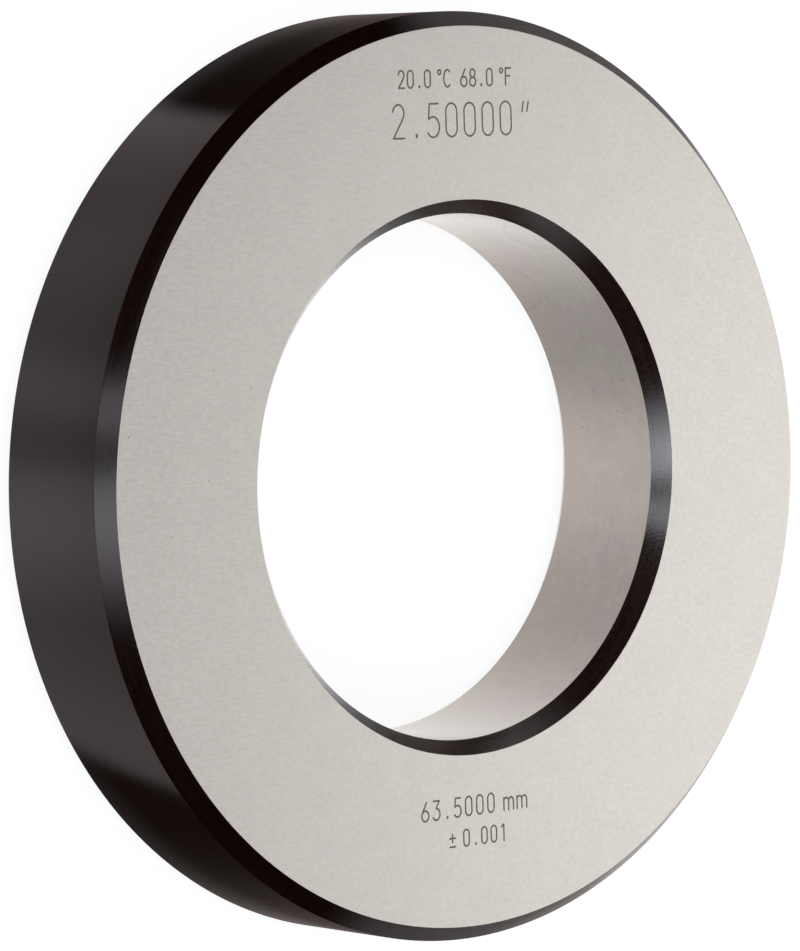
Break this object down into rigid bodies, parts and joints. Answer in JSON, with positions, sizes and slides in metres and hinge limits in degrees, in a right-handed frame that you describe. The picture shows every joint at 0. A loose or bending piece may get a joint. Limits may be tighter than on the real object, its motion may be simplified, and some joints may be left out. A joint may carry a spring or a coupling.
{
  "type": "setting ring gauge",
  "caption": "Thick steel ring with a lapped bore of known diameter, ground faces and a blackened, chamfered rim, for setting bore gauges.",
  "frame": {"origin": "centre of the back face, on the bore's axis", "axes": "+Z along the bore's axis, out of the marked front face; +Y towards the top of the size figures"},
  "size_m": [0.112, 0.112, 0.02],
  "materials": {
    "ground_steel": "surface-ground faces and lapped bore in bare steel, black oxide on the rim and chamfers"
  },
  "bodies": {
    "root": {"ring": "ground_steel"}
  },
  "joints": []
}
